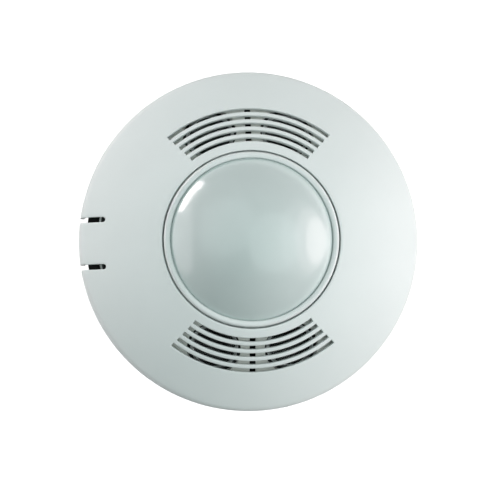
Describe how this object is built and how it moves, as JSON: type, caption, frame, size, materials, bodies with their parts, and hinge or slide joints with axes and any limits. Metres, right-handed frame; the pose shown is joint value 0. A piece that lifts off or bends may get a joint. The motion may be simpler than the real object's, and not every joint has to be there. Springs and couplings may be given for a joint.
{
  "type": "motion sensor",
  "caption": "Round ceiling motion sensor: domed infrared lens in a ring, ultrasonic transducers behind arc grilles, lift-off cover with a release tab, and a base that screws to a ceiling box.",
  "frame": {"origin": "centre of the base's ceiling face", "axes": "+Z out of the ceiling towards the room, +Y through the middle of the upper grille, -X through the release tab"},
  "size_m": [0.1142, 0.1142, 0.0368],
  "materials": {
    "white_plastic": "moulded, matt with a very fine grain",
    "black_plastic": "moulded, matt",
    "seal_rubber": "pale, matt",
    "lens_plastic": "milky, smooth and half glossy",
    "cream_plastic": "moulded, matt",
    "green_board": "glass-epoxy board with a half gloss solder mask",
    "plated_steel": "bright plated",
    "aluminium_can": "drawn, satin",
    "aluminium_cone": "thin sheet, satin",
    "black_rubber": "matt",
    "infrared_filter": "dark, polished",
    "red_led_plastic": "tinted clear resin",
    "green_led_plastic": "tinted clear resin",
    "clear_resin": "clear resin over a pale chip",
    "red_plastic": "moulded, satin",
    "slider_plastic": "moulded, satin",
    "blue_plastic": "moulded, satin",
    "rotor_plastic": "moulded, satin",
    "green_plastic": "moulded, satin",
    "relay_plastic": "moulded, satin",
    "capacitor_sleeve": "shrunk film sleeve",
    "black_epoxy": "moulded epoxy, matt",
    "chip_ceramic": "fired ceramic with tinned ends",
    "wire_insulation": "smooth insulation"
  },
  "bodies": {
    "base": {"base": "black_plastic", "edge_seal": "seal_rubber", "circuit_board": "green_board", "board_screws": "plated_steel", "upper_transducer_holder": "cream_plastic", "lower_transducer_holder": "cream_plastic", "pir_detector": "plated_steel", "pir_window": "infrared_filter", "pir_spacer": "cream_plastic", "red_led": "red_led_plastic", "green_led": "green_led_plastic", "light_sensor": "clear_resin", "dip_switch_a": "red_plastic", "dip_switch_b": "red_plastic", "terminal_block": "green_plastic", "terminal_screws": "plated_steel", "terminal_clamps": "plated_steel", "relay": "relay_plastic", "capacitors": "capacitor_sleeve", "integrated_circuits": "black_epoxy", "chip_parts": "chip_ceramic", "crystal": "plated_steel", "transducer_headers": "cream_plastic", "transducer_leads": "wire_insulation", "transducer_can_1": "aluminium_can", "transducer_boot_1": "black_rubber", "transducer_cone_1": "aluminium_cone", "transducer_can_2": "aluminium_can", "transducer_boot_2": "black_rubber", "transducer_cone_2": "aluminium_cone", "transducer_can_3": "aluminium_can", "transducer_boot_3": "black_rubber", "transducer_cone_3": "aluminium_cone", "transducer_can_4": "aluminium_can", "transducer_boot_4": "black_rubber", "transducer_cone_4": "aluminium_cone", "trimmer_1": "blue_plastic", "trimmer_2": "blue_plastic", "trimmer_3": "blue_plastic"},
    "cover": {"front_cover": "white_plastic", "lens_ring": "white_plastic", "lens": "lens_plastic"},
    "release_tab": {"release_tab": "white_plastic"},
    "slider_a1": {"slider_a1": "slider_plastic"},
    "slider_a2": {"slider_a2": "slider_plastic"},
    "slider_a3": {"slider_a3": "slider_plastic"},
    "slider_a4": {"slider_a4": "slider_plastic"},
    "slider_a5": {"slider_a5": "slider_plastic"},
    "slider_a6": {"slider_a6": "slider_plastic"},
    "slider_b1": {"slider_b1": "slider_plastic"},
    "slider_b2": {"slider_b2": "slider_plastic"},
    "slider_b3": {"slider_b3": "slider_plastic"},
    "slider_b4": {"slider_b4": "slider_plastic"},
    "slider_b5": {"slider_b5": "slider_plastic"},
    "slider_b6": {"slider_b6": "slider_plastic"},
    "rotor_1": {"rotor_1": "rotor_plastic"},
    "rotor_2": {"rotor_2": "rotor_plastic"},
    "rotor_3": {"rotor_3": "rotor_plastic"}
  },
  "joints": [
    {"name": "cover_lift", "type": "slide", "parent": "base", "child": "cover", "axis": [0, 0, 1], "range_m": [0, 0.06]},
    {"name": "release_tab_flex", "type": "hinge", "parent": "cover", "child": "release_tab", "pos_m": [-0.04835, 0, 0.0154], "axis": [0, 1, 0], "range_deg": [0, 4.5], "stiffness_Nm_per_rad": 0.4},
    {"name": "slider_a1_slide", "type": "slide", "parent": "base", "child": "slider_a1", "axis": [1, 0, 0], "range_m": [0, 0.002]},
    {"name": "slider_a2_slide", "type": "slide", "parent": "base", "child": "slider_a2", "axis": [1, 0, 0], "range_m": [0, 0.002]},
    {"name": "slider_a3_slide", "type": "slide", "parent": "base", "child": "slider_a3", "axis": [1, 0, 0], "range_m": [0, 0.002]},
    {"name": "slider_a4_slide", "type": "slide", "parent": "base", "child": "slider_a4", "axis": [1, 0, 0], "range_m": [0, 0.002]},
    {"name": "slider_a5_slide", "type": "slide", "parent": "base", "child": "slider_a5", "axis": [1, 0, 0], "range_m": [0, 0.002]},
    {"name": "slider_a6_slide", "type": "slide", "parent": "base", "child": "slider_a6", "axis": [1, 0, 0], "range_m": [0, 0.002]},
    {"name": "slider_b1_slide", "type": "slide", "parent": "base", "child": "slider_b1", "axis": [1, 0, 0], "range_m": [0, 0.002]},
    {"name": "slider_b2_slide", "type": "slide", "parent": "base", "child": "slider_b2", "axis": [1, 0, 0], "range_m": [0, 0.002]},
    {"name": "slider_b3_slide", "type": "slide", "parent": "base", "child": "slider_b3", "axis": [1, 0, 0], "range_m": [0, 0.002]},
    {"name": "slider_b4_slide", "type": "slide", "parent": "base", "child": "slider_b4", "axis": [1, 0, 0], "range_m": [0, 0.002]},
    {"name": "slider_b5_slide", "type": "slide", "parent": "base", "child": "slider_b5", "axis": [1, 0, 0], "range_m": [0, 0.002]},
    {"name": "slider_b6_slide", "type": "slide", "parent": "base", "child": "slider_b6", "axis": [1, 0, 0], "range_m": [0, 0.002]},
    {"name": "rotor_1_turn", "type": "hinge", "parent": "base", "child": "rotor_1", "pos_m": [0.02, 0.008, 0.0115], "axis": [0, 0, 1], "range_deg": [-135, 135]},
    {"name": "rotor_2_turn", "type": "hinge", "parent": "base", "child": "rotor_2", "pos_m": [0.02, 0, 0.0115], "axis": [0, 0, 1], "range_deg": [-135, 135]},
    {"name": "rotor_3_turn", "type": "hinge", "parent": "base", "child": "rotor_3", "pos_m": [0.02, -0.008, 0.0115], "axis": [0, 0, 1], "range_deg": [-135, 135]}
  ]
}
